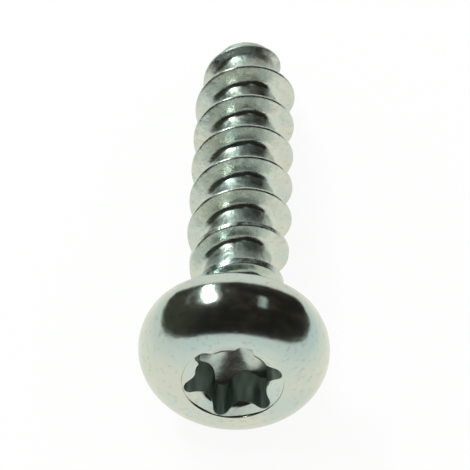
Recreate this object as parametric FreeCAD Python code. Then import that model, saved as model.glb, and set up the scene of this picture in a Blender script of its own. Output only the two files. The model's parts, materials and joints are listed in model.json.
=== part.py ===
import FreeCAD, Part

import math
import os

# Thread-forming screw for plastics, 5 x 20, pan head with a size 25 six-lobe recess.
# Sizes are in millimetres, angles in degrees. The screw is made along its own Z axis,
# with the bearing face of the head at Z = 0 and the tip up, and is then laid down.

# Thread
thread_diameter = 5.0
core_diameter = 3.1
pitch = 2.29
flank_angle = 30.0
crest_width = 0.16
root_radius = 0.4
root_dip = 0.02
round_flats = 3
shank_length = 20.0
crest_offset = 0.73

# Neck below the head, and run-out over which the crest is cut back towards it
neck_diameter = 3.9
neck_length = 1.1
neck_fillet = 0.35
neck_taper_length = 0.8
runout_diameter = 4.06
runout_length = 5.0

# Blunt tip, over which the ridge fades in one turn
tip_taper_length = 1.4
tip_diameter = 2.7
tip_round = 0.22
lead_in_length = 2.3
lead_in_share = 0.03

# Pan head
head_diameter = 8.8
head_height = 2.87
widest_height = 0.74
bearing_diameter = 8.5
dome_radius = 50.0

# Six-lobe recess
lobe_diameter = 4.56
ridge_diameter = 3.24
lobe_radius = 0.375
mouth_diameter = 4.66
mouth_step = 0.07
mouth_slope = 20.0
ridge_round = 0.4
ridge_overlap = 0.03
recess_depth = 3.0
floor_slope = 23.5
recess_clocking = 44.0


def point(radius, height, angle=0.0):
    """A point at a radius, a height and an angle about the screw's axis."""
    turn = math.radians(angle)
    return FreeCAD.Vector(radius * math.cos(turn), radius * math.sin(turn), height)


def line(start, end):
    return Part.LineSegment(start, end).toShape()


def arc(start, middle, end):
    return Part.Arc(start, middle, end).toShape()


def flats(points):
    """Straight runs through points."""
    return [line(a, b) for a, b in zip(points, points[1:])]


def turned(edges):
    """The solid that a closed outline sweeps out about the axis."""
    face = Part.Face(Part.Wire(edges))
    return face.revolve(FreeCAD.Vector(0, 0, 0), FreeCAD.Vector(0, 0, 1), 360)


def turned_through(outline):
    """The solid turned from straight runs through points given as (radius, height)."""
    points = [point(radius, height) for radius, height in outline]
    return turned(flats(points + points[:1]))


def dome_drop(radius):
    """Depth of the dome below its own top at a radius from the axis."""
    return dome_radius - math.sqrt(dome_radius**2 - radius**2)


def make_head():
    """Pan head: flat bearing face, bulged side, round shoulder and nearly flat dome."""
    widest = head_diameter / 2
    bearing = bearing_diameter / 2
    centre_drop = dome_radius - head_height + widest_height
    shoulder = (dome_radius**2 - widest**2 - centre_drop**2) / (2 * (dome_radius - widest))
    bulge = ((widest - bearing) ** 2 + widest_height**2) / (2 * (widest - bearing))
    half_bulge = math.asin(widest_height / bulge) / 2
    reach = math.atan2(widest - shoulder, centre_drop)
    half_turn = (math.pi / 2 - reach) / 2

    def on_bulge(angle):
        return point(
            widest - bulge + bulge * math.cos(angle),
            -widest_height + bulge * math.sin(angle),
        )

    def on_shoulder(angle):
        return point(
            widest - shoulder + shoulder * math.cos(angle),
            -widest_height - shoulder * math.sin(angle),
        )

    def on_dome(radius):
        return point(radius, dome_drop(radius) - head_height)

    edge_of_dome = dome_radius * math.sin(reach)
    return turned(
        [
            line(point(0, 0), point(bearing, 0)),
            arc(point(bearing, 0), on_bulge(half_bulge), on_bulge(0)),
            arc(on_bulge(0), on_shoulder(half_turn), on_shoulder(2 * half_turn)),
            arc(on_shoulder(2 * half_turn), on_dome(edge_of_dome / 2), on_dome(0)),
            line(on_dome(0), point(0, 0)),
        ]
    )


def make_shank():
    """Neck with a fillet under the head, taper to the core, core and blunt tip."""
    neck = neck_diameter / 2
    core = core_diameter / 2
    tip = tip_diameter / 2
    taper_start = shank_length - tip_taper_length
    slope = math.atan2(core - tip, tip_taper_length)
    turn = math.pi / 2 - slope
    corner_r = tip - tip_round * math.tan(turn / 2)
    corner_z = shank_length - tip_round
    sunk = -head_height / 2

    def fillet(share):
        angle = math.pi / 2 * share
        return point(
            neck + neck_fillet * (1 - math.sin(angle)), neck_fillet * (1 - math.cos(angle))
        )

    def tip_corner(share):
        angle = slope + turn * share
        return point(
            corner_r + tip_round * math.cos(angle), corner_z + tip_round * math.sin(angle)
        )

    shares = [step / round_flats for step in range(round_flats + 1)]
    return turned(
        [
            line(point(0, sunk), point(neck + neck_fillet, sunk)),
            line(point(neck + neck_fillet, sunk), point(neck + neck_fillet, 0)),
            *flats([fillet(share) for share in shares]),
            line(point(neck, neck_fillet), point(neck, neck_length)),
            line(point(neck, neck_length), point(core, neck_length + neck_taper_length)),
            line(point(core, neck_length + neck_taper_length), point(core, taper_start)),
            line(point(core, taper_start), tip_corner(0)),
            *flats([tip_corner(share) for share in shares]),
            line(tip_corner(1), point(0, shank_length)),
            line(point(0, shank_length), point(0, sunk)),
        ]
    )


def full_end():
    """Height of the crest where the full ridge ends and its lead-in begins."""
    return shank_length - lead_in_length


def full_start():
    """Height where the run-out ends and the crest has its full diameter."""
    return neck_length + neck_taper_length + runout_length


def seam_angle():
    """Angle about the axis where the crest stands at the end of the full ridge."""
    return 360 * ((full_end() - crest_offset) / pitch + 0.25)


def ridge_outline(height, share):
    """Section of the rolled ridge, sunk to a share of its full height above the core.

    It has a narrow crest, straight flanks and round roots.
    """
    half = math.radians(flank_angle / 2)
    outer = thread_diameter / 2
    base = core_diameter / 2 - root_dip
    centre_r = base + root_radius
    flank = crest_width / 2 * math.cos(half) + outer * math.sin(half)
    centre_z = (flank + root_radius - centre_r * math.sin(half)) / math.cos(half)
    side = [(base - root_radius, centre_z)]
    for step in range(round_flats + 1):
        angle = (math.pi / 2 - half) * step / round_flats
        rise = root_radius * (1 - math.cos(angle))
        side.append((base + rise * share, centre_z - root_radius * math.sin(angle)))
    side.append((base + (outer - base) * share, crest_width / 2))
    upper = [point(r, height + z, seam_angle()) for r, z in side]
    lower = [point(r, height - z, seam_angle()) for r, z in reversed(side)]
    return Part.Wire(flats(upper + lower + upper[:1]))


def one_turn(start, end_share):
    """Faces of one turn of the ridge, from its full height to a share of it."""
    helix = Part.makeHelix(pitch, pitch, core_diameter / 2)
    helix.rotate(FreeCAD.Vector(0, 0, 0), FreeCAD.Vector(0, 0, 1), seam_angle())
    helix.translate(FreeCAD.Vector(0, 0, start))
    sections = [ridge_outline(start, 1), ridge_outline(start + pitch, end_share)]
    return Part.Wire(helix.Edges).makePipeShell(sections, False, True).Faces


def make_thread():
    """Right-hand ridge with its crest cut back at the neck and chamfered at the tip."""
    turns = math.ceil(full_end() / pitch)
    faces = [Part.Face(ridge_outline(full_end() - turns * pitch, 1))]
    for turn in range(turns, 0, -1):
        faces += one_turn(full_end() - turn * pitch, 1)
    faces += one_turn(full_end(), lead_in_share)
    faces.append(Part.Face(ridge_outline(full_end() + pitch, lead_in_share)))
    shell = Part.makeShell(faces)
    shell.sewShape()
    neck = neck_diameter / 2 - root_dip
    tip = tip_diameter / 2
    clear = thread_diameter / 2 + crest_width
    growth = (thread_diameter - runout_diameter) / 2 / runout_length
    crest_line = turned_through(
        [
            (0, neck_fillet),
            (neck, neck_fillet),
            (neck, neck_length),
            (runout_diameter / 2, neck_length + neck_taper_length),
            (clear, full_start() + crest_width / growth),
            (clear, shank_length - clear + tip),
            (tip, shank_length),
            (0, shank_length),
        ]
    )
    return Part.Solid(shell).common(crest_line)


def star_face(height):
    """Six-lobe outline: round lobes outwards, joined by wider round ridges inwards."""
    lobe_centre = lobe_diameter / 2 - lobe_radius
    ridge = ridge_diameter / 2
    across = math.cos(math.radians(30))
    spare = lobe_radius**2 - lobe_centre**2 - ridge**2 + 2 * lobe_centre * ridge * across
    ridge_radius = spare / (2 * (ridge - lobe_centre * across - lobe_radius))
    share = lobe_radius / (lobe_radius + ridge_radius)

    def joint(angle, side):
        centre = point(lobe_centre, height, angle)
        beside = point(ridge + ridge_radius, height, angle + side * 30)
        return centre + (beside - centre) * share

    edges = []
    for lobe in range(6):
        angle = recess_clocking + 60 * lobe
        tip = point(lobe_diameter / 2, height, angle)
        inward = point(ridge, height, angle + 30)
        edges.append(arc(joint(angle, -1), tip, joint(angle, 1)))
        edges.append(arc(joint(angle, 1), inward, joint(angle + 60, -1)))
    return Part.Face(Part.Wire(edges))


def make_mouth(rim):
    """Tool shape of the mouth: a step at the rim, a slope and a round over the ridges."""
    mouth = mouth_diameter / 2
    lean = math.radians(mouth_slope)
    inner = ridge_diameter / 2 - ridge_overlap
    centre_r = inner + ridge_round
    tangent = centre_r - ridge_round * math.sin(lean)
    slope_end = rim + mouth_step + (mouth - tangent) * math.tan(lean)
    centre_z = slope_end + ridge_round * math.cos(lean)

    def on_round(angle):
        return point(
            centre_r - ridge_round * math.cos(angle), centre_z - ridge_round * math.sin(angle)
        )

    turn = math.pi / 2 - lean
    above = -head_height - mouth_step
    return turned(
        [
            *flats([point(0, centre_z), point(0, above), point(mouth, above)]),
            *flats([point(mouth, above), point(mouth, rim + mouth_step), on_round(turn)]),
            arc(on_round(turn), on_round(turn / 2), on_round(0)),
            line(on_round(0), point(0, centre_z)),
        ]
    )


def make_recess():
    """Tool shape of the drive: six-lobe socket with a coned floor, and its mouth."""
    mouth = mouth_diameter / 2
    rim = dome_drop(mouth) - head_height
    apex = recess_depth - head_height
    edge = apex - mouth * math.tan(math.radians(floor_slope))
    star = star_face(rim).extrude(FreeCAD.Vector(0, 0, apex - rim))
    punch = turned_through([(0, rim), (mouth, rim), (mouth, edge), (0, apex)])
    return make_mouth(rim).fuse(star.common(punch))


def resting_tilt():
    """Angle of the axis when the head's widest circle and one full crest touch the floor."""
    base = core_diameter / 2 - root_dip
    height = crest_offset + pitch / 2
    tilts = []
    while height < shank_length:
        fade = max(0.0, height - full_end()) / pitch * (1 - lead_in_share)
        crest = thread_diameter / 2 - (thread_diameter / 2 - base) * fade
        if height > full_start():
            tilts.append(math.atan2(head_diameter / 2 - crest, height + widest_height))
        height += pitch
    return math.degrees(min(tilts))


def lay_down(screw):
    """Lays the screw on the floor, head towards -Y, over the origin."""
    over = FreeCAD.Rotation(FreeCAD.Vector(0, 1, 1), 180)
    tilt = FreeCAD.Rotation(FreeCAD.Vector(1, 0, 0), -resting_tilt())
    laid = screw.copy()
    laid.Placement = FreeCAD.Placement(FreeCAD.Vector(0, 0, 0), tilt * over)
    box = laid.optimalBoundingBox(False, False)
    laid.translate(FreeCAD.Vector(-box.Center.x, -box.Center.y, -box.ZMin))
    return laid


def make_screw():
    blank = make_head().fuse(make_shank())
    return blank.fuse(make_thread()).cut(make_recess()).removeSplitter()


os.makedirs("parts", exist_ok=True)
screw = lay_down(make_screw())
screw.exportStep("parts/screw.step")
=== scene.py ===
"""Looks of a zinc-plated pan head screw with a six-lobe recess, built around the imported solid.

Sizes in the classes are in millimetres on the screw's own axis and angles are in degrees: the
bearing face of the head is at height 0, the blunt tip at 20, and the top of the head lies
below 0.
"""

import json
import logging
import math
from collections.abc import Callable
from dataclasses import dataclass, field
from enum import Enum
from functools import partial

import bmesh
import bpy
from mathutils import Matrix, Vector


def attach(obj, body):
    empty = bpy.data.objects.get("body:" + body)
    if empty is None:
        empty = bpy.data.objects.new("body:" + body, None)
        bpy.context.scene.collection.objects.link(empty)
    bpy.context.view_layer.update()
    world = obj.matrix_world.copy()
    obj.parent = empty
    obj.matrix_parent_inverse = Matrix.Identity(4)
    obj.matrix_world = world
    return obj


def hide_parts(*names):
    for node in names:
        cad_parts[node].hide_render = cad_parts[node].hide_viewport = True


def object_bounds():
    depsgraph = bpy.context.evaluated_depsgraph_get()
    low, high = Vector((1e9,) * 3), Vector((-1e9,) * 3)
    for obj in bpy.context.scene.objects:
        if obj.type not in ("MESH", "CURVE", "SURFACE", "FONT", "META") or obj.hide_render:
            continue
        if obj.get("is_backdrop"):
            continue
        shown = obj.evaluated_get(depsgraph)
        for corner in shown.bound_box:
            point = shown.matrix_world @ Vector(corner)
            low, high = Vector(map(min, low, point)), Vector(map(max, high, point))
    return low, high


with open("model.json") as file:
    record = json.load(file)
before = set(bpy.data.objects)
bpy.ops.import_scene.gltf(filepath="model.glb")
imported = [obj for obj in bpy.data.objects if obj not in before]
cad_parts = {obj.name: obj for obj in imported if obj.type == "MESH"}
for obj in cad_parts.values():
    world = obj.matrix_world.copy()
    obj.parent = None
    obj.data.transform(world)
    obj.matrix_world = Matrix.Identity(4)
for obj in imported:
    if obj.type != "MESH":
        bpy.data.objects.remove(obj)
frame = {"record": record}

LOG = logging.getLogger("screw")
MILLIMETRE = 0.001

# Two vertices nearer than WELD are one, and two heights nearer than LEVEL are the same.
WELD = 1e-5
LEVEL = 1e-4

# Half the angle between two lobes of the recess.
HALF_LOBE = math.pi / 6

# A Mix node has several sockets of each name. These are the numbers of those for colours.
MIX_SHARE, MIX_FIRST, MIX_SECOND, MIX_RESULT = 0, 6, 7, 2
RANGE_ENDS = ("From Min", "From Max", "To Min", "To Max")


class Ray(Enum):
    """Kinds of ray that a stage surface answers to, by the name of their Light Path output."""

    CAMERA = "Is Camera Ray"
    GLOSSY = "Is Glossy Ray"
    TRANSMISSION = "Is Transmission Ray"


def linear(code: str) -> tuple[float, float, float, float]:
    """Turns an sRGB hex colour into linear red, green, blue and alpha, as its standard says.

    Args:
        code: The colour as "#RRGGBB".

    Returns:
        The linear colour with an alpha of 1.
    """
    parts = [int(code[i : i + 2], 16) / 255 for i in (1, 3, 5)]
    red, green, blue = (
        c / 12.92 if c <= 0.04045 else ((c + 0.055) / 1.055) ** 2.4 for c in parts
    )
    return red, green, blue, 1.0


def add_node(
    tree: bpy.types.NodeTree,
    kind: str,
    settings: dict[str, object] | None = None,
    inputs: dict[str | int, object] | None = None,
) -> bpy.types.Node:
    """Adds a node with its settings, and fills or links its inputs.

    Args:
        tree: The node tree that takes the node.
        kind: The node's type name.
        settings: Properties of the node by name.
        inputs: A value or another node's output for each input, by name or number.

    Returns:
        The new node.
    """
    node = tree.nodes.new(kind)
    for name, value in (settings or {}).items():
        setattr(node, name, value)
    for name, value in (inputs or {}).items():
        if isinstance(value, bpy.types.NodeSocket):
            tree.links.new(value, node.inputs[name])
        else:
            node.inputs[name].default_value = value
    return node


def empty_tree(owner: bpy.types.Material | bpy.types.World) -> bpy.types.NodeTree:
    """Switches a material or a world to nodes and clears its tree.

    Args:
        owner: The material or world.

    Returns:
        Its empty node tree.
    """
    owner.use_nodes = True
    owner.node_tree.nodes.clear()
    return owner.node_tree


def between(points: list[tuple[float, float]], at: float) -> float:
    """Reads a value off straight runs through points.

    Args:
        points: Pairs of place and value, in rising order.
        at: The place to read at.

    Returns:
        The value there, held constant beyond both ends.
    """
    if at <= points[0][0]:
        return points[0][1]
    for (low, first), (high, last) in zip(points, points[1:]):
        if at <= high:
            return first + (last - first) * (at - low) / (high - low)
    return points[-1][1]


def level_loop(bm: bmesh.types.BMesh, height: float) -> list[bmesh.types.BMEdge]:
    """Finds the open edges that lie at one height."""
    edges = (e for e in bm.edges if e.is_boundary)
    return [e for e in edges if all(abs(v.co.z - height) < LEVEL for v in e.verts)]


class Outline:
    """A wire drawn in the half-plane beside the axis, with radius along X and height along Z."""

    def __init__(self, bm: bmesh.types.BMesh, radius: float, height: float) -> None:
        """Sets the pen down.

        Args:
            bm: The mesh that takes the wire.
            radius: Distance from the axis.
            height: Height along the axis.
        """
        self.bm = bm
        self.end = bmesh.ops.create_vert(bm, co=(radius, 0, height))["vert"][0]

    def line(self, radius: float, height: float, parts: int = 1) -> None:
        """Draws a straight run to a point.

        Args:
            radius: Distance of its end from the axis.
            height: Height of its end.
            parts: Number of equal parts.
        """
        start, goal = self.end.co.copy(), Vector((radius, 0, height))
        for part in range(1, parts + 1):
            self.end = bmesh.ops.extrude_vert_indiv(self.bm, verts=[self.end])["verts"][0]
            self.end.co = start.lerp(goal, part / parts)

    def arc(self, radius: float, height: float, degrees: float, parts: int) -> None:
        """Draws an arc about a centre.

        Args:
            radius: Distance of the centre from the axis.
            height: Height of the centre.
            degrees: Angle of the arc, positive from above the centre towards its outside.
            parts: Number of equal parts.
        """
        made = bmesh.ops.spin(
            self.bm,
            geom=[self.end],
            cent=(radius, 0, height),
            axis=(0, 1, 0),
            angle=math.radians(degrees),
            steps=parts,
            use_merge=False,
        )
        self.end = next(g for g in made["geom_last"] if isinstance(g, bmesh.types.BMVert))


def next_ring(
    bm: bmesh.types.BMesh,
    edges: list[bmesh.types.BMEdge],
    place: Callable[[float], tuple[float, float]],
) -> list[bmesh.types.BMEdge]:
    """Extrudes an open loop by one ring of faces.

    Args:
        bm: The mesh.
        edges: The open loop round the axis.
        place: Gives radius and height of the new loop at an angle about the axis.

    Returns:
        The edges of the new open loop.
    """
    made = bmesh.ops.extrude_edge_only(bm, edges=edges)["geom"]
    for vert in (g for g in made if isinstance(g, bmesh.types.BMVert)):
        angle = math.atan2(vert.co.y, vert.co.x)
        radius, height = place(angle)
        vert.co = (radius * math.cos(angle), radius * math.sin(angle), height)
    return [g for g in made if isinstance(g, bmesh.types.BMEdge) and g.is_boundary]


@dataclass
class Thread:
    """Rolled right-hand ridge with round roots, straight flanks and a narrow rounded crest.

    A crest stands at the height crest_offset a quarter turn from the X axis. The parts and
    the steps only say how finely its mesh is divided.
    """

    outer: float = 2.5
    core: float = 1.55
    pitch: float = 2.29
    flank_angle: float = 30.0
    crest_width: float = 0.16
    crest_round: float = 0.075
    root_radius: float = 0.4
    crest_offset: float = 0.73
    full_end: float = 17.7
    lead_in_share: float = 0.03
    crest_parts: int = 4
    flank_parts: int = 6
    root_parts: int = 7
    land_parts: int = 3
    steps: int = 200

    def draw_half(self, bm: bmesh.types.BMesh) -> None:
        """Draws the ridge's outline from the crest down to the middle of the core land.

        Args:
            bm: The mesh that takes the wire.
        """
        half = math.radians(self.flank_angle / 2)
        sine, cosine = math.sin(half), math.cos(half)
        flank = self.crest_width / 2 * cosine + self.outer * sine
        crest_r = self.outer - self.crest_round
        crest_z = (flank - self.crest_round - crest_r * sine) / cosine
        root_r = self.core + self.root_radius
        root_z = (flank + self.root_radius - root_r * sine) / cosine
        foot_r = root_r - self.root_radius * sine
        foot_z = self.root_radius * cosine - root_z
        turn = 90 - self.flank_angle / 2
        outline = Outline(bm, self.outer, 0)
        outline.line(self.outer, -crest_z)
        outline.arc(crest_r, -crest_z, turn, self.crest_parts)
        outline.line(foot_r, foot_z, self.flank_parts)
        outline.arc(root_r, -root_z, -turn, self.root_parts)
        outline.line(self.core, -self.pitch / 2, self.land_parts)

    def share(self, angle: float, height: float) -> float:
        """Share of its full height that the nearest turn of the ridge has at a place.

        Args:
            angle: Angle about the axis in radians.
            height: Height along the axis.

        Returns:
            The share, fading from 1 over the lead-in at the tip.
        """
        phase = self.crest_offset + self.pitch * (angle / math.tau - 1 / 4)
        crest = phase + round((height - phase) / self.pitch) * self.pitch
        fade = [(self.full_end, 1.0), (self.full_end + self.pitch, self.lead_in_share)]
        return between(fade, crest)

    def build(self, bm: bmesh.types.BMesh, low: float, high: float) -> None:
        """Winds the ridge and the core land between two heights and a little beyond.

        Args:
            bm: The empty mesh that takes the surface.
            low: Lowest height that is needed.
            high: Greatest height that is needed.
        """
        self.draw_half(bm)
        wire = bm.verts[:] + bm.edges[:]
        bmesh.ops.mirror(bm, geom=wire, matrix=Matrix.Identity(4), merge_dist=WELD, axis="Z")
        bmesh.ops.remove_doubles(bm, verts=bm.verts[:], dist=WELD)
        first = (self.crest_offset - self.pitch / 4) % self.pitch - self.pitch
        first += math.floor((low - first) / self.pitch - 1) * self.pitch
        bmesh.ops.translate(bm, vec=(0, 0, first), verts=bm.verts[:])
        bmesh.ops.spin(
            bm,
            geom=bm.verts[:] + bm.edges[:],
            cent=(0, 0, 0),
            axis=(0, 0, 1),
            dvec=(0, 0, self.pitch / self.steps),
            angle=math.tau,
            steps=self.steps,
            use_merge=False,
        )
        turn = bm.verts[:] + bm.edges[:] + bm.faces[:]
        for number in range(1, math.ceil((high - first) / self.pitch) + 1):
            copied = bmesh.ops.duplicate(bm, geom=turn)["geom"]
            verts = [g for g in copied if isinstance(g, bmesh.types.BMVert)]
            bmesh.ops.translate(bm, vec=(0, 0, number * self.pitch), verts=verts)
        bmesh.ops.remove_doubles(bm, verts=bm.verts[:], dist=LEVEL)


@dataclass
class Shank:
    """Threaded shank with its plain neck, its run-out and its blunt tip.

    The rough ground of the drawn wire shows through the plating by neck_wire where the thread
    starts, and by the shares of flank_wire at distances from the core.
    """

    thread: Thread = field(default_factory=Thread)
    length: float = 20.0
    neck_radius: float = 1.95
    neck_start: float = 0.6
    neck_end: float = 1.1
    core_start: float = 1.9
    runout_radius: float = 2.03
    full_start: float = 6.9
    root_dip: float = 0.02
    taper: float = 1.4
    tip_radius: float = 1.35
    tip_round: float = 0.22
    tip_angles: tuple[float, ...] = (0, 25, 45, 62, 76)
    end_margin: float = 0.03
    neck_wire: float = 0.5
    flank_wire: tuple[tuple[float, float], ...] = ((0.01, 1.0), (0.06, 0.15), (0.5, 0.35))

    def body_radius(self, height: float) -> float:
        """Radius of neck, taper, core and tip, without the ridge.

        Args:
            height: Height along the axis.

        Returns:
            The radius there.
        """
        slope = math.atan2(self.thread.core - self.tip_radius, self.taper)
        setback = self.tip_round * math.tan((math.pi / 2 - slope) / 2)
        corner = self.length - self.tip_round
        if height > corner:
            rise = min(height - corner, self.tip_round)
            return self.tip_radius - setback + math.sqrt(self.tip_round**2 - rise**2)
        points = [
            (self.neck_end, self.neck_radius),
            (self.core_start, self.thread.core),
            (self.length - self.taper, self.thread.core),
            (corner, self.tip_radius + self.tip_round * math.tan(slope)),
        ]
        return between(points, height)

    def crest_limit(self, height: float) -> float:
        """Greatest radius of the ridge, which is cut back at the neck and chamfered at the tip.

        Args:
            height: Height along the axis.

        Returns:
            The radius there.
        """
        points = [
            (self.neck_end, self.neck_radius - self.root_dip),
            (self.core_start, self.runout_radius),
            (self.full_start, self.thread.outer),
        ]
        return min(between(points, height), self.tip_radius + self.length - height)

    def wire_share(self, radius: float, height: float) -> float:
        """Share of the drawn wire's rough ground at a place on the shank.

        Args:
            radius: Distance from the axis.
            height: Height along the axis.

        Returns:
            1 on the core between the threads and on the tip, and less on the flanks.
        """
        if height < self.core_start:
            return between([(self.neck_start, 0.0), (self.core_start, self.neck_wire)], height)
        if height > self.length - self.taper:
            return 1.0
        core = self.thread.core
        return between([(core + rise, share) for rise, share in self.flank_wire], radius)

    def build(self, bm: bmesh.types.BMesh) -> None:
        """Builds the shank from the plain neck to its closed tip.

        Args:
            bm: The empty mesh that takes the surface.
        """
        core = self.thread.core
        self.thread.build(bm, self.neck_start, self.length)
        corner = self.length - self.tip_round
        breaks = [self.neck_end, self.core_start, self.full_start, self.length - self.taper]
        rounds = [corner + self.tip_round * math.sin(math.radians(a)) for a in self.tip_angles]
        for height in breaks + rounds:
            self.cut(bm, height)
        self.cut(bm, self.neck_start, below=True)
        self.cut(bm, self.length, above=True)
        for vert in bm.verts:
            radius = math.hypot(vert.co.x, vert.co.y)
            share = self.thread.share(math.atan2(vert.co.y, vert.co.x), vert.co.z)
            ridge = min(core + (radius - core) * share, self.crest_limit(vert.co.z))
            wanted = max(self.body_radius(vert.co.z), ridge)
            vert.co.x *= wanted / radius
            vert.co.y *= wanted / radius
        cap = bmesh.ops.holes_fill(bm, edges=level_loop(bm, self.length), sides=0)["faces"]
        bmesh.ops.inset_region(bm, faces=cap, thickness=self.end_margin, depth=0)

    @staticmethod
    def cut(
        bm: bmesh.types.BMesh, height: float, below: bool = False, above: bool = False
    ) -> None:
        """Cuts the mesh along a level plane.

        Args:
            bm: The mesh.
            height: Height of the plane.
            below: Removes what lies below it.
            above: Removes what lies above it.
        """
        bmesh.ops.bisect_plane(
            bm,
            geom=bm.verts[:] + bm.edges[:] + bm.faces[:],
            dist=WELD,
            plane_co=(0, 0, height),
            plane_no=(0, 0, 1),
            clear_inner=below,
            clear_outer=above,
        )


@dataclass
class Recess:
    """Six-lobe socket: stepped and sloping mouth, rounded over the ridges, and a coned floor.

    The shares tell where rings of vertices lie on the way inwards over the mouth, down the
    walls and outwards over the floor. What lies within floor_reach of the axis and below
    floor_height belongs to the socket.
    """

    lobe_reach: float = 2.28
    ridge_reach: float = 1.62
    lobe_radius: float = 0.375
    mouth_radius: float = 2.33
    mouth_step: float = 0.07
    mouth_slope: float = 20.0
    ridge_round: float = 0.4
    ridge_overlap: float = 0.03
    depth: float = 3.0
    floor_slope: float = 23.5
    clocking: float = 44.0
    edge: float = 0.035
    mouth_shares: tuple[float, ...] = (0, 0.1, 0.35, 0.6, 0.72, 0.8, 0.87, 0.92, 0.96, 0.985, 1.0)
    wall_shares: tuple[float, ...] = (0.2, 0.4, 0.6, 0.8)
    floor_shares: tuple[float, ...] = (1.0, 0.98, 0.85, 0.7, 0.5, 0.3, 0.1)
    floor_reach: float = 1.5
    floor_height: float = 0.2
    # Share of rough plating and painted shade on the socket's floor.
    floor_dullness_and_shade: float = 0.1

    def star(self, angle: float) -> float:
        """Radius of the six-lobe outline, of one round for each lobe and one for each ridge.

        Args:
            angle: Angle about the axis in radians.

        Returns:
            The distance from the axis to the wall.
        """
        centre = self.lobe_reach - self.lobe_radius
        across = math.cos(HALF_LOBE)
        spare = self.lobe_radius**2 - centre**2 - self.ridge_reach**2
        spare += 2 * centre * self.ridge_reach * across
        ridge = spare / (2 * (self.ridge_reach - centre * across - self.lobe_radius))
        beside = self.ridge_reach + ridge
        share = self.lobe_radius / (self.lobe_radius + ridge)
        joint_x = centre + (beside * across - centre) * share
        joint = math.atan2(beside / 2 * share, joint_x)
        turned = angle - math.radians(self.clocking) + HALF_LOBE
        off = abs(turned % (2 * HALF_LOBE) - HALF_LOBE)
        if off < joint:
            reach = math.sqrt(self.lobe_radius**2 - (centre * math.sin(off)) ** 2)
            return centre * math.cos(off) + reach
        off = HALF_LOBE - off
        return beside * math.cos(off) - math.sqrt(ridge**2 - (beside * math.sin(off)) ** 2)

    def mouth_depth(self, radius: float) -> float:
        """Depth of the mouth below its rim, sloping in and then rounding down to the ridges.

        Args:
            radius: Distance from the axis.

        Returns:
            The depth there.
        """
        slope = math.radians(self.mouth_slope)
        centre = self.ridge_reach - self.ridge_overlap + self.ridge_round
        tangent = centre - self.ridge_round * math.sin(slope)
        depth = self.mouth_step + (self.mouth_radius - max(radius, tangent)) * math.tan(slope)
        if radius < tangent:
            depth += self.ridge_round * math.cos(slope)
            depth -= math.sqrt(max(self.ridge_round**2 - (centre - radius) ** 2, 0))
        return depth

    def floor_at(self, apex: float, radius: float) -> float:
        """Height of the coned floor at a distance from the axis, for the height of its apex."""
        return apex - radius * math.tan(math.radians(self.floor_slope))

    def dullness_and_shade(self, radius: float, angle: float, height: float) -> float:
        """Share of the socket's rougher plating and painted shade at a place on the screw.

        Args:
            radius: Distance from the axis.
            angle: Angle about the axis in radians.
            height: Height along the axis.

        Returns:
            1 on the socket's walls, less on its floor and 0 elsewhere.
        """
        inside = radius < self.floor_reach or (height < 0 and radius < self.mouth_radius)
        off = radius - self.star(angle)
        if not inside or height > self.floor_height or off > self.edge:
            return 0.0
        return between([(-self.edge, self.floor_dullness_and_shade), (-self.edge / 2, 1.0)], off)

    def on_mouth(self, rim: float, share: float, angle: float) -> tuple[float, float]:
        """Finds a place on the mouth.

        Args:
            rim: Height of the rim.
            share: Share of the way from the rim to the walls.
            angle: Angle about the axis in radians.

        Returns:
            Its radius and height.
        """
        radius = self.mouth_radius + (self.star(angle) - self.mouth_radius) * share
        return radius, rim + self.mouth_depth(radius)

    def on_wall(
        self, rim: float, apex: float, share: float, drop: float, angle: float
    ) -> tuple[float, float]:
        """Finds a place on the walls.

        Args:
            rim: Height of the mouth's rim.
            apex: Height of the floor's apex.
            share: Share of the way from the mouth down to the floor.
            drop: Height that is added to it.
            angle: Angle about the axis in radians.

        Returns:
            Its radius and height.
        """
        radius = self.star(angle)
        start = rim + self.mouth_depth(radius)
        return radius, start + (self.floor_at(apex, radius) - start) * share + drop

    def on_floor(self, apex: float, share: float, angle: float) -> tuple[float, float]:
        """Finds a place on the coned floor.

        Args:
            apex: Height of its apex.
            share: Share of the way from the apex to the walls.
            angle: Angle about the axis in radians.

        Returns:
            Its radius and height.
        """
        radius = self.star(angle) * share
        return radius, self.floor_at(apex, radius)

    def build(
        self, bm: bmesh.types.BMesh, edges: list[bmesh.types.BMEdge], rim: float, top: float
    ) -> None:
        """Builds the socket inwards from its rim on the dome.

        Args:
            bm: The mesh.
            edges: The open loop at the rim.
            rim: Height of the rim.
            top: Height of the top of the head.
        """
        apex = top + self.depth
        wall = partial(self.on_wall, rim, apex)
        places = [lambda angle: (self.mouth_radius, rim + self.mouth_step / 2)]
        places += [partial(self.on_mouth, rim, share) for share in self.mouth_shares]
        places += [partial(wall, 0, self.edge)]
        places += [partial(wall, share, 0) for share in self.wall_shares]
        places += [partial(wall, 1, -self.edge)]
        places += [partial(self.on_floor, apex, share) for share in self.floor_shares]
        for place in places:
            edges = next_ring(bm, edges, place)
        cap = bmesh.ops.holes_fill(bm, edges=edges, sides=0)["faces"]
        tip = bmesh.ops.poke(bm, faces=cap)["verts"]
        bmesh.ops.translate(bm, vec=(0, 0, apex - tip[0].co.z), verts=tip)


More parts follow.
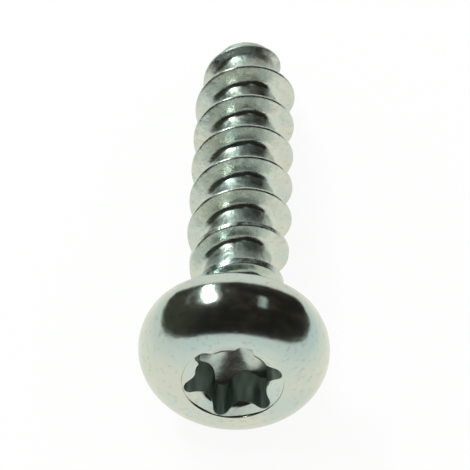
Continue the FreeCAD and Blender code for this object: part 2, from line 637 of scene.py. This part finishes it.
@dataclass
class Head:
    """Pan head: fillet, flat bearing face, bulged side, round shoulder and nearly flat dome.

    The parts and the steps only say how finely its mesh is divided.
    """

    recess: Recess = field(default_factory=Recess)
    widest: float = 4.4
    height: float = 2.87
    widest_height: float = 0.74
    bearing: float = 4.25
    dome_radius: float = 50.0
    neck_radius: float = 1.95
    fillet: float = 0.35
    edge: float = 0.04
    fillet_parts: int = 6
    face_parts: int = 3
    side_parts: int = 6
    shoulder_parts: int = 30
    dome_parts: int = 8
    steps: int = 200

    def draw_outline(self, bm: bmesh.types.BMesh) -> float:
        """Draws the outline from the neck over the side to the rim of the recess.

        Args:
            bm: The empty mesh that takes the wire.

        Returns:
            Height of the rim.
        """
        centre_drop = self.dome_radius - self.height + self.widest_height
        shoulder = self.dome_radius**2 - self.widest**2 - centre_drop**2
        shoulder /= 2 * (self.dome_radius - self.widest)
        lean = self.widest - self.bearing
        bulge = (lean**2 + self.widest_height**2) / (2 * lean)
        side = math.degrees(math.asin(self.widest_height / bulge))
        reach = math.degrees(math.atan2(self.widest - shoulder, centre_drop))
        mouth = math.degrees(math.asin(self.recess.mouth_radius / self.dome_radius))
        foot = self.neck_radius + self.fillet
        turn = 90 - reach
        outline = Outline(bm, self.neck_radius, self.fillet)
        outline.arc(foot, self.fillet, -90, self.fillet_parts)
        outline.line(foot + self.edge, 0)
        outline.line(self.bearing - self.edge, 0, self.face_parts)
        outline.line(self.bearing, 0)
        outline.arc(self.widest - bulge, -self.widest_height, side, self.side_parts)
        outline.arc(self.widest - shoulder, -self.widest_height, turn, self.shoulder_parts)
        outline.arc(0, self.dome_radius - self.height, reach - mouth, self.dome_parts)
        return outline.end.co.z

    def build(self, bm: bmesh.types.BMesh) -> None:
        """Spins the head about the axis and sinks the recess into it.

        Args:
            bm: The empty mesh that takes the surface.
        """
        rim = self.draw_outline(bm)
        bmesh.ops.spin(
            bm,
            geom=bm.verts[:] + bm.edges[:],
            cent=(0, 0, 0),
            axis=(0, 0, 1),
            angle=math.tau,
            steps=self.steps,
            use_merge=True,
        )
        bmesh.ops.remove_doubles(bm, verts=bm.verts[:], dist=WELD)
        self.recess.build(bm, level_loop(bm, rim), rim, -self.height)


class Ground(Enum):
    """Vertex values that tell the plating where the drawn wire's rough ground lies, and where the
    socket's plating is rougher and darkened as painted shade.
    """

    WIRE = "wire_ground"
    SOCKET = "socket_depth"


class Pattern(Enum):
    """Patterns in the plating, by the real size of their patches in millimetres.

    Haze is a drift of tint over the part, and swell the slight waviness of pressed metal. The
    grain of drawn wire and the nicks from tumbling in the plating barrel are finer than the
    render can show, so mottle and nick are drawn as coarse as they need to show.
    """

    HAZE = 2.5
    SWELL = 0.9
    MOTTLE = 0.35
    NICK = 0.28


@dataclass(frozen=True)
class ZincPlate:
    """Zinc electroplate with a clear passivation over rolled, headed and punched steel.

    The pressed head and flanks are nearly a mirror with a faint frost and small nicks. The
    core between the threads keeps the drawn wire's rough ground, so it shows mottled grey. In
    the socket the plating is rougher and its tint is darkened as painted shade, so its walls
    look dark.
    """

    name: str = "clear_passivated_zinc_plate"
    cool: str = "#D2DEDC"
    warm: str = "#E1E2D8"
    nick: str = "#B4B9B1"
    # Painted shade: the darker tint of the socket's walls and floor.
    socket_shade: str = "#C1CAC6"
    roughness: float = 0.12
    frost: float = 0.07
    wire_roughness: float = 0.32
    socket_roughness: float = 0.26
    haze_span: tuple[float, float] = (0.35, 0.65)
    nick_span: tuple[float, float] = (0.56, 0.74)
    nick_share: float = 0.45
    mottle_span: tuple[float, float] = (0.3, 0.7)
    wire_mottle: tuple[float, float] = (0.5, 1.6)
    swell_strength: float = 0.6
    swell_height: float = 0.02
    pit_strength: tuple[float, float] = (0.06, 1.0)
    pit_height: float = 0.05
    detail: float = 3.0

    def build(self) -> bpy.types.Material:
        """Makes the plating's material.

        Returns:
            The material.
        """
        material = bpy.data.materials.new(self.name)
        tree = empty_tree(material)
        place = add_node(tree, "ShaderNodeTexCoord").outputs["Object"]
        wire, socket = (
            add_node(tree, "ShaderNodeAttribute", {"attribute_name": g.value}).outputs["Fac"]
            for g in Ground
        )
        noise = {}
        for pattern in Pattern:
            scale = 1 / (pattern.value * MILLIMETRE)
            inputs = {"Vector": place, "Scale": scale, "Detail": self.detail}
            noise[pattern] = add_node(tree, "ShaderNodeTexNoise", inputs=inputs).outputs["Fac"]
        mottle = noise[Pattern.MOTTLE]

        # Each row turns one span of a value into another: first the shares of the tints, then
        # how much rougher the wire is, the frost of the mirror and the depth of the pits.
        rows = (
            (noise[Pattern.HAZE], self.haze_span, (0, 1)),
            (noise[Pattern.NICK], self.nick_span, (0, self.nick_share)),
            (mottle, self.mottle_span, self.wire_mottle),
            (mottle, self.mottle_span, (self.roughness, self.roughness + self.frost)),
            (wire, (0, 1), self.pit_strength),
        )
        haze, nicks, coarse, rough, pits = (
            add_node(
                tree,
                "ShaderNodeMapRange",
                inputs={"Value": value} | dict(zip(RANGE_ENDS, source + target)),
            ).outputs["Result"]
            for value, source, target in rows
        )

        tint = linear(self.cool)
        # The socket's share darkens the tint as painted shade; haze and nicks are the plating's
        # own tint.
        for share, colour in ((haze, self.warm), (nicks, self.nick), (socket, self.socket_shade)):
            inputs = {MIX_SHARE: share, MIX_FIRST: tint, MIX_SECOND: linear(colour)}
            mixed = add_node(tree, "ShaderNodeMix", {"data_type": "RGBA"}, inputs)
            tint = mixed.outputs[MIX_RESULT]

        clamped = {"operation": "MULTIPLY", "use_clamp": True}
        bare = add_node(tree, "ShaderNodeMath", clamped, {0: wire, 1: coarse}).outputs[0]
        for share, extra in ((bare, self.wire_roughness), (socket, self.socket_roughness)):
            inputs = {0: share, 1: extra, 2: rough}
            added = add_node(tree, "ShaderNodeMath", {"operation": "MULTIPLY_ADD"}, inputs)
            rough = added.outputs[0]

        surface = {"Base Color": tint, "Metallic": 1.0, "Roughness": rough}
        relief: dict[str | int, object] = {}
        for height, strength, lift in (
            (noise[Pattern.SWELL], self.swell_strength, self.swell_height),
            (mottle, pits, self.pit_height),
        ):
            inputs = {"Height": height, "Strength": strength, "Distance": lift * MILLIMETRE}
            bump = add_node(tree, "ShaderNodeBump", inputs=inputs | relief)
            relief = {"Normal": bump.outputs["Normal"]}
        shader = add_node(tree, "ShaderNodeBsdfPrincipled", inputs=surface | relief)
        add_node(tree, "ShaderNodeOutputMaterial", inputs={"Surface": shader.outputs["BSDF"]})
        return material


@dataclass
class Screw:
    """The whole screw as one plated piece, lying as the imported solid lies.

    The record's mount on the bearing face lies bearing_point above the axis. The mesh stays
    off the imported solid's box by clearance, which is a share of its size.
    """

    head: Head = field(default_factory=Head)
    shank: Shank = field(default_factory=Shank)
    plating: ZincPlate = field(default_factory=ZincPlate)
    bearing_point: float = 3.3
    clearance: float = 1e-6

    def resting_place(self, record: dict) -> Matrix:
        """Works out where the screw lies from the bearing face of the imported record.

        Args:
            record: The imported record.

        Returns:
            The matrix from the screw's own axes in millimetres to the row frame in metres.
        """
        face = next(m for m in record["mounts"] if m["name"] == "bearing_face")
        axis, point = Vector(face["axis"]), Vector(face["pos_m"])
        up = Vector((0, -axis.z, axis.y))
        across = up.cross(axis)
        turn = Matrix((across, up, axis)).transposed().to_4x4()
        origin = point - up * self.bearing_point * MILLIMETRE
        return Matrix.Translation(origin) @ turn @ Matrix.Scale(MILLIMETRE, 4)

    def mark_ground(self, bm: bmesh.types.BMesh) -> None:
        """Marks each vertex with the ground that lies under its plating, and with the socket's
        share of rough plating and painted shade.

        Args:
            bm: The whole screw on its own axis.
        """
        wire = bm.verts.layers.float.new(Ground.WIRE.value)
        socket = bm.verts.layers.float.new(Ground.SOCKET.value)
        for vert in bm.verts:
            radius, height = math.hypot(vert.co.x, vert.co.y), vert.co.z
            angle = math.atan2(vert.co.y, vert.co.x)
            vert[socket] = self.head.recess.dullness_and_shade(radius, angle, height)
            vert[wire] = self.shank.wire_share(radius, height)

    def fit_inside(self, bm: bmesh.types.BMesh, box: list[list[float]]) -> None:
        """Takes off the few thousandths of a millimetre by which the smooth mesh leaves a box.

        Args:
            bm: The whole screw at rest.
            box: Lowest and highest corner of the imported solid.
        """
        low = [min(v.co[i] for v in bm.verts) for i in range(3)]
        high = [max(v.co[i] for v in bm.verts) for i in range(3)]
        ratio = min((box[1][i] - box[0][i]) / (high[i] - low[i]) for i in range(3))
        middle = Vector([sum(ends) / 2 for ends in zip(low, high)])
        target = (Vector(box[0]) + Vector(box[1])) / 2
        shrink = Matrix.Scale(min(ratio, 1) * (1 - self.clearance), 4)
        bm.transform(Matrix.Translation(target) @ shrink @ Matrix.Translation(-middle))

    def join(self) -> bmesh.types.BMesh:
        """Builds shank and head, and joins them along the neck.

        Returns:
            The closed screw on its own axis.
        """
        bm = bmesh.new()
        self.shank.build(bm)
        shank_mesh = bpy.data.meshes.new("shank")
        bm.to_mesh(shank_mesh)
        bm.clear()
        self.head.build(bm)
        bm.from_mesh(shank_mesh)
        bpy.data.meshes.remove(shank_mesh)
        neck = level_loop(bm, self.head.fillet) + level_loop(bm, self.shank.neck_start)
        bmesh.ops.bridge_loops(bm, edges=neck)
        bmesh.ops.recalc_face_normals(bm, faces=bm.faces[:])
        for face in bm.faces:
            face.smooth = True
        return bm

    def build(self, record: dict, box: list[list[float]]) -> None:
        """Builds and dresses the screw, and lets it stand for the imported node.

        Args:
            record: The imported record.
            box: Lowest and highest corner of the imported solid.
        """
        bm = self.join()
        open_edges = sum(e.is_boundary for e in bm.edges)
        self.mark_ground(bm)
        bm.transform(self.resting_place(record))
        self.fit_inside(bm, box)
        mesh = bpy.data.meshes.new("zinc_screw")
        bm.to_mesh(mesh)
        bm.free()
        mesh.materials.append(self.plating.build())
        piece = bpy.data.objects.new("zinc_screw", mesh)
        bpy.context.scene.collection.objects.link(piece)
        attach(piece, "root")
        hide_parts("screw")
        triangles = sum(len(p.vertices) - 2 for p in mesh.polygons)
        LOG.info("%s: %d triangles, %d open edges", piece.name, triangles, open_edges)


@dataclass(frozen=True)
class PaperSheet:
    """White matt paper under the screw.

    The camera sees it plain white. For the plating it glows as painted reflection, warm by the
    screw and cooler further off.
    """

    name: str = "white_paper"
    # Painted reflection: the glow that the plating mirrors, warm near the screw and cooler far
    # off.
    near: str = "#F5F3E6"
    far: str = "#D3DDD8"
    seen: str = "#FFFFFF"
    lit: str = "#F2F2EE"
    near_radius: float = 2.0
    far_radius: float = 40.0
    glow: float = 0.9

    def build(self) -> bpy.types.Material:
        """Makes the paper's material.

        Returns:
            The material.
        """
        material = bpy.data.materials.new(self.name)
        tree = empty_tree(material)
        ray = add_node(tree, "ShaderNodeLightPath")
        camera = ray.outputs[Ray.CAMERA.value]
        share = camera
        for operation, value in (
            ("MAXIMUM", ray.outputs[Ray.GLOSSY.value]),
            ("MAXIMUM", ray.outputs[Ray.TRANSMISSION.value]),
            ("MULTIPLY", self.glow),
        ):
            inputs = {0: share, 1: value}
            share = add_node(tree, "ShaderNodeMath", {"operation": operation}, inputs).outputs[0]

        place = add_node(tree, "ShaderNodeTexCoord").outputs["Object"]
        away = add_node(tree, "ShaderNodeVectorMath", {"operation": "LENGTH"}, {0: place})
        span = {
            "Value": away.outputs["Value"],
            "From Min": self.near_radius * MILLIMETRE,
            "From Max": self.far_radius * MILLIMETRE,
        }
        # Painted reflection: warmer by the screw and cooler further off; camera rays see plain
        # white.
        level = add_node(tree, "ShaderNodeMapRange", {"interpolation_type": "SMOOTHSTEP"}, span)
        tone = linear(self.near)
        for part, colour in ((level.outputs["Result"], self.far), (camera, self.seen)):
            inputs = {MIX_SHARE: part, MIX_FIRST: tone, MIX_SECOND: linear(colour)}
            mixed = add_node(tree, "ShaderNodeMix", {"data_type": "RGBA"}, inputs)
            tone = mixed.outputs[MIX_RESULT]

        glow = add_node(tree, "ShaderNodeEmission", inputs={"Color": tone})
        paper = add_node(tree, "ShaderNodeBsdfDiffuse", inputs={"Color": linear(self.lit)})
        inputs = {0: share, 1: paper.outputs[0], 2: glow.outputs[0]}
        both = add_node(tree, "ShaderNodeMixShader", inputs=inputs)
        add_node(tree, "ShaderNodeOutputMaterial", inputs={"Surface": both.outputs[0]})
        return material


@dataclass(frozen=True)
class DarkReflection:
    """Dark glowing sheet, a painted dark reflection, which the plating mirrors as its dark band.

    It has faint painted brown patches and is a little lighter towards one side of the set.
    """

    name: str = "painted_dark_reflection"
    shade: str = "#1F201D"
    # Painted reflection: brown patches and a lighter side in the plating's dark band.
    brown_patch: str = "#38302A"
    side: str = "#3C3E35"
    brown_patch_width: float = 140.0
    brown_patch_span: tuple[float, float] = (0.45, 0.7)
    side_reach: tuple[float, float] = (-450.0, -200.0)

    def build(self) -> bpy.types.Material:
        """Makes the cloth's material.

        Returns:
            The material.
        """
        material = bpy.data.materials.new(self.name)
        tree = empty_tree(material)
        place = add_node(tree, "ShaderNodeTexCoord").outputs["Object"]
        scale = 1 / (self.brown_patch_width * MILLIMETRE)
        brown_patches = add_node(tree, "ShaderNodeTexNoise", inputs={"Vector": place, "Scale": scale})
        across = add_node(tree, "ShaderNodeSeparateXYZ", inputs={0: place})
        reach = tuple(end * MILLIMETRE for end in self.side_reach)
        tone = linear(self.shade)
        # Painted reflection: brown patches, and lighter towards one side.
        for value, source, target, colour in (
            (brown_patches.outputs["Fac"], self.brown_patch_span, (0, 1), self.brown_patch),
            (across.outputs["X"], reach, (1, 0), self.side),
        ):
            inputs = {"Value": value} | dict(zip(RANGE_ENDS, source + target))
            share = add_node(tree, "ShaderNodeMapRange", inputs=inputs).outputs["Result"]
            inputs = {MIX_SHARE: share, MIX_FIRST: tone, MIX_SECOND: linear(colour)}
            mixed = add_node(tree, "ShaderNodeMix", {"data_type": "RGBA"}, inputs)
            tone = mixed.outputs[MIX_RESULT]
        glow = add_node(tree, "ShaderNodeEmission", inputs={"Color": tone})
        add_node(tree, "ShaderNodeOutputMaterial", inputs={"Surface": glow.outputs[0]})
        return material


@dataclass(frozen=True)
class Lamp:
    """Level light panel over the set, which shines down.

    It hangs at near over the floor, seen from the screw, and is turned about the vertical.
    """

    name: str
    near: tuple[float, float]
    size: tuple[float, float]
    watts: float
    turn: float = 0.0

    def hang(self, height: float, colour: str) -> None:
        """Hangs the panel.

        Args:
            height: Its height over the floor.
            colour: The colour of its light.
        """
        light = bpy.data.lights.new(self.name, "AREA")
        light.shape = "RECTANGLE"
        light.size, light.size_y = (side * MILLIMETRE for side in self.size)
        light.energy = self.watts
        light.color = linear(colour)[:3]
        panel = bpy.data.objects.new(self.name, light)
        panel.location = Vector((*self.near, height)) * MILLIMETRE
        panel.rotation_euler.z = math.radians(self.turn)
        bpy.context.scene.collection.objects.link(panel)
        LOG.info("lamp: %s", self.name)


@dataclass
class Studio:
    """Paper floor, a dark hood of painted reflection above, light panels, plain white
    surroundings and the camera.

    The hood is half a ball that ends hood_rim above the floor, and at the share hood_back of
    its radius behind the screw.
    """

    floor_size: float = 4000.0
    hood_radius: float = 500.0
    hood_rim: float = 12.0
    hood_back: float = 0.75
    hood_fineness: int = 5
    surroundings: str = "#DFE5DD"
    lamp_colour: str = "#E0F2EC"
    lamp_height: float = 250.0
    lamps: tuple[Lamp, ...] = (
        Lamp("window_light", near=(-152.0, 126.0), size=(52.0, 290.0), watts=0.64, turn=9.0),
        Lamp("door_gap_light", near=(133.0, 5.0), size=(34.0, 130.0), watts=0.009),
        Lamp("side_pane_light", near=(-330.0, 120.0), size=(50.0, 170.0), watts=0.004),
    )
    camera_place: tuple[float, float, float] = (-0.204, -83.235, 98.333)
    camera_down: float = 49.237
    camera_roll: float = 2.681
    focal_length: float = 199.7
    sensor_width: float = 36.0
    nearest_seen: float = 5.0

    def build_floor(self) -> None:
        """Lays the paper floor."""
        bm = bmesh.new()
        size = self.floor_size / 2 * MILLIMETRE
        bmesh.ops.create_grid(bm, x_segments=1, y_segments=1, size=size)
        self.stage_piece(bm, "paper_floor", PaperSheet().build())

    def build_hood(self) -> None:
        """Hangs the dark hood of painted reflection, open at its far side and seen by the plating
        only.
        """
        bm = bmesh.new()
        radius = self.hood_radius * MILLIMETRE
        bmesh.ops.create_icosphere(bm, subdivisions=self.hood_fineness, radius=radius)
        for point, outwards in (
            ((0, 0, self.hood_rim * MILLIMETRE), (0, 0, -1)),
            ((0, self.hood_back * radius, 0), (0, 1, 0)),
        ):
            bmesh.ops.bisect_plane(
                bm,
                geom=bm.verts[:] + bm.edges[:] + bm.faces[:],
                dist=LEVEL * MILLIMETRE,
                plane_co=point,
                plane_no=outwards,
                clear_outer=True,
            )
        # The hood glows as a painted dark reflection that only the plating sees.
        hood = self.stage_piece(bm, "dark_hood", DarkReflection().build())
        hood.visible_camera = False
        hood.visible_diffuse = False
        hood.visible_shadow = False

    @staticmethod
    def stage_piece(
        bm: bmesh.types.BMesh, name: str, material: bpy.types.Material
    ) -> bpy.types.Object:
        """Turns a mesh into an object of the stage.

        Args:
            bm: The mesh, which is freed.
            name: The object's name.
            material: Its material.

        Returns:
            The object.
        """
        mesh = bpy.data.meshes.new(name)
        bm.to_mesh(mesh)
        bm.free()
        mesh.materials.append(material)
        thing = bpy.data.objects.new(name, mesh)
        bpy.context.scene.collection.objects.link(thing)
        thing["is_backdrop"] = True
        LOG.info("stage: %s", name)
        return thing

    def light(self) -> None:
        """Sets the white surroundings and hangs the light panels."""
        world = bpy.data.worlds.new("white_surroundings")
        tree = empty_tree(world)
        inputs = {"Color": linear(self.surroundings), "Strength": 1.0}
        glow = add_node(tree, "ShaderNodeBackground", inputs=inputs)
        add_node(tree, "ShaderNodeOutputWorld", inputs={"Surface": glow.outputs[0]})
        bpy.context.scene.world = world
        for lamp in self.lamps:
            lamp.hang(self.lamp_height, self.lamp_colour)

    def set_camera(self) -> None:
        """Stands the camera where the photograph was taken from."""
        data = bpy.data.cameras.new("camera")
        data.lens = self.focal_length
        data.sensor_width = self.sensor_width
        data.clip_start = self.nearest_seen * MILLIMETRE
        camera = bpy.data.objects.new("camera", data)
        pitch = Matrix.Rotation(math.radians(90 - self.camera_down), 4, "X")
        roll = Matrix.Rotation(math.radians(self.camera_roll), 4, "Z")
        place = Matrix.Translation(Vector(self.camera_place) * MILLIMETRE)
        camera.matrix_world = place @ pitch @ roll
        bpy.context.scene.collection.objects.link(camera)
        bpy.context.scene.camera = camera


def as_lists(corners: tuple[Vector, Vector]) -> list[list[float]]:
    """Turns the two corners of a box into plain lists."""
    return [list(corner) for corner in corners]


def main() -> None:
    """Builds the screw and its studio."""
    logging.basicConfig(level=logging.INFO, format="%(message)s")
    cad_box = as_lists(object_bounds())
    Screw().build(frame["record"], cad_box)
    studio = Studio()
    studio.build_floor()
    studio.build_hood()
    studio.light()
    studio.set_camera()
    bpy.context.scene.view_settings.view_transform = "Standard"
    bpy.context.view_layer.update()


if __name__ == "__main__":
    main()
